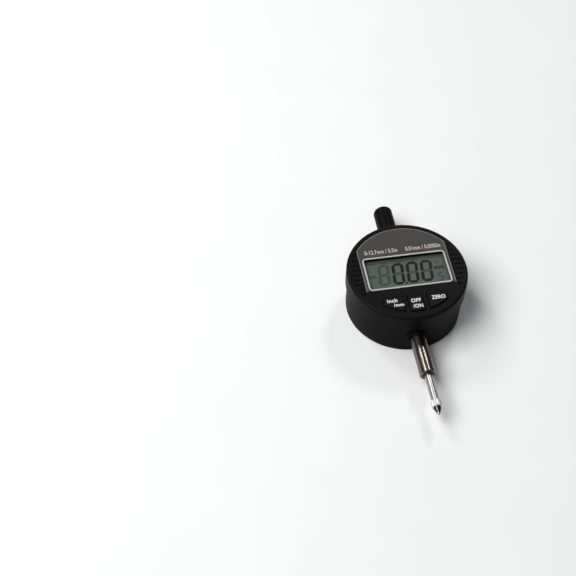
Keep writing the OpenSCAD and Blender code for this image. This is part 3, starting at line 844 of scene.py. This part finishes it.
for key_name, span in key_spans.items():
    cap = key_shape(span, -key_gap, plate_z - 0.6 * mm, key_high.z)
    cap = rounded(rounded(cap, 0.45 * mm, 4, 60), 0.3 * mm, 3, 40)
    flange = key_shape(span, 0.5 * mm, plate_z - 1.1 * mm, plate_z - 0.15 * mm)
    flange = rounded(flange, 0.2 * mm, 2, 60)
    centre_x = (span[0] + span[1]) / 2
    foot_outline = [
        (key_low.z, foot_r - 0.2 * mm),
        (key_low.z + 0.2 * mm, foot_r),
        (plate_z - 1 * mm, foot_r),
    ]
    foot = turned(foot_outline, 48, spot=(centre_x, -key_top - 3.4 * mm, 0))
    key = cut(cap, flange, foot, how="UNION")
    done(key, key_name + "_rubber", key_name, rubber.material, 30, [key_name])
    for number, (word, x, y, width, height) in enumerate(key_words[key_name]):
        mark = lettering(word, x, y, key_high.z, width, height)
        done(mark, f"{key_name}_marking_{number + 1}", key_name, key_ink, 30, ())

# ------------------------------------------------------------------- dust cap
# A smooth black cap screws onto the upper bush and covers the end of the spindle. Its top
# is rounded, and a narrow groove runs round its base.
cap_low, cap_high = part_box("dust_cap")
cap_r = (cap_high.z - cap_low.z) / 2
cap_round = 2.2 * mm
cap_bore_r = 3.65 * mm
groove_r = cap_r - 0.2 * mm
cap_outline = [
    (cap_low.y + 4 * mm, cap_bore_r),
    (cap_low.y, cap_bore_r),
    (cap_low.y, groove_r),
    (cap_low.y + 0.2 * mm, cap_r),
    (cap_low.y + 1.6 * mm, cap_r),
    (cap_low.y + 1.75 * mm, groove_r),
    (cap_low.y + 2.05 * mm, groove_r),
    (cap_low.y + 2.2 * mm, cap_r),
]
cap_outline += arc(cap_high.y - cap_round, cap_r - cap_round, cap_round, 0, 90, 8)
cap_plastic = black_moulding("dust cap black plastic", 0.0025, 0.3 * mm, 0.004 * mm)
cap = turned(cap_outline, 128, False, line_up, True)
done(cap, "dust_cap_shell", "case", cap_plastic, 30, ["dust_cap"])

# -------------------------------------------------------------- back and cell
# The flat back is a painted disc with four countersunk screws. A slotted cap over the
# button cell turns to unlock and sits just below the face.
back_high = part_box("back_cover")[1]
back_r = back_high.x
battery_low, battery_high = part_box("battery_cap")
cell_x = (battery_low.x + battery_high.x) / 2
cell_y = (battery_low.y + battery_high.y) / 2
battery_r = (battery_high.x - battery_low.x) / 2
back_outline = [
    (0, back_r - 0.5 * mm),
    (0.12 * mm, back_r - 0.3 * mm),
    (0.5 * mm, back_r),
    (back_high.z, back_r),
]
back = turned(back_outline, 192)
near = 10.4 * mm
far = 22.2 * mm
screw_places = [(near, far), (-near, far), (far, -near), (-far, -near)]
for x, y in screw_places:
    sink = [(-1 * mm, 2.15 * mm), (0, 2.15 * mm), (1.15 * mm, 1.1 * mm), (3 * mm, 1.1 * mm)]
    cut(back, turned(sink, 48, spot=(x, y, 0)))
opening_r = battery_r + 0.2 * mm
opening = [(-1 * mm, opening_r + 1.2 * mm), (0.2 * mm, opening_r), (3 * mm, opening_r)]
cell_spot = (cell_x, cell_y, 0)
cut(back, turned(opening, 96, spot=cell_spot))
cover_paint = black_paint("back cover black paint", 0.35 * mm)
done(back, "back_plate", "case", cover_paint, 30, ["back_cover"])
dress(black_steel, "back_screws")
lid_outline = [
    (battery_low.z, battery_r - 0.2 * mm),
    (battery_low.z + 0.2 * mm, battery_r),
    (battery_high.z, battery_r),
]
ring_out = 5.9 * mm
ring_in = 5.4 * mm
lid = turned(lid_outline, 96, spot=cell_spot)
groove = turned([(-1 * mm, ring_out), (battery_low.z + 0.25 * mm, ring_out)], 96, spot=cell_spot)
cut(groove, turned([(-2 * mm, ring_in), (2 * mm, ring_in)], 96, spot=cell_spot))
slot_low = (cell_x - 4.5 * mm, cell_y - 0.8 * mm, -1 * mm)
slot_high = (cell_x + 4.5 * mm, cell_y + 0.8 * mm, battery_low.z + 0.9 * mm)
cut(lid, groove, round_block(slot_low, slot_high, 0.7 * mm))
rounded(lid, 0.06 * mm, 2)
lid_plastic = dark_moulding.material
done(lid, "battery_cap_disc", "battery_cap", lid_plastic, 30, ["battery_cap"])

# -------------------------------------------------------------- table and lamps
# The indicator lies on its back on a pale matt table, under two long ceiling lamps and a
# wide soft one.
clear_selection()
bpy.ops.mesh.primitive_grid_add(x_subdivisions=4, y_subdivisions=4, size=6)
table = bpy.context.object
table.name = "table"
pale = Finish("pale matt table", Specular_IOR_Level=0.2)
pale.drive("Base Color", pale.tint(pale.grain(40 * mm, 3), grey(0.74), grey(0.77)))
pale.drive("Roughness", 0.75 + 0.1 * pale.grain(6 * mm))
table.data.materials.append(pale.material)


def lamp(name, place, aim, size, power):
    """A rectangular lamp that faces a point."""
    clear_selection()
    bpy.ops.object.light_add(type="AREA", location=place)
    made = bpy.context.object
    made.name = name
    made.data.shape = "RECTANGLE"
    made.data.size, made.data.size_y = size
    made.data.energy = power
    made.rotation_euler = (Vector(aim) - Vector(place)).to_track_quat("-Z", "Y").to_euler()


lamp("soft_lamp", (-0.7, -0.1, 1.1), (0, 0, 0), (0.9, 0.9), 19.8)
lamp("left_strip", (-0.42, 0.58, 0.69), (0, 0, 0), (0.16, 0.3), 2.2)
lamp("right_strip", (0.36, 0.58, 0.74), (0, 0, 0), (0.12, 0.2), 1.8)
world = bpy.data.worlds.new("room")
world.use_nodes = True
world.node_tree.nodes["Background"].inputs["Color"].default_value = (0.9, 0.95, 1, 1)
world.node_tree.nodes["Background"].inputs["Strength"].default_value = 0.09
bpy.context.scene.world = world
bpy.context.scene.view_settings.view_transform = "Standard"

bpy.ops.object.camera_add(location=(-0.12664, -0.36558, 0.49668))
camera = bpy.context.object
camera.rotation_euler = (radians(38.17), radians(-0.87), radians(-9.31))
camera.data.lens = 76.9
camera.data.sensor_width = 36
bpy.context.scene.camera = camera
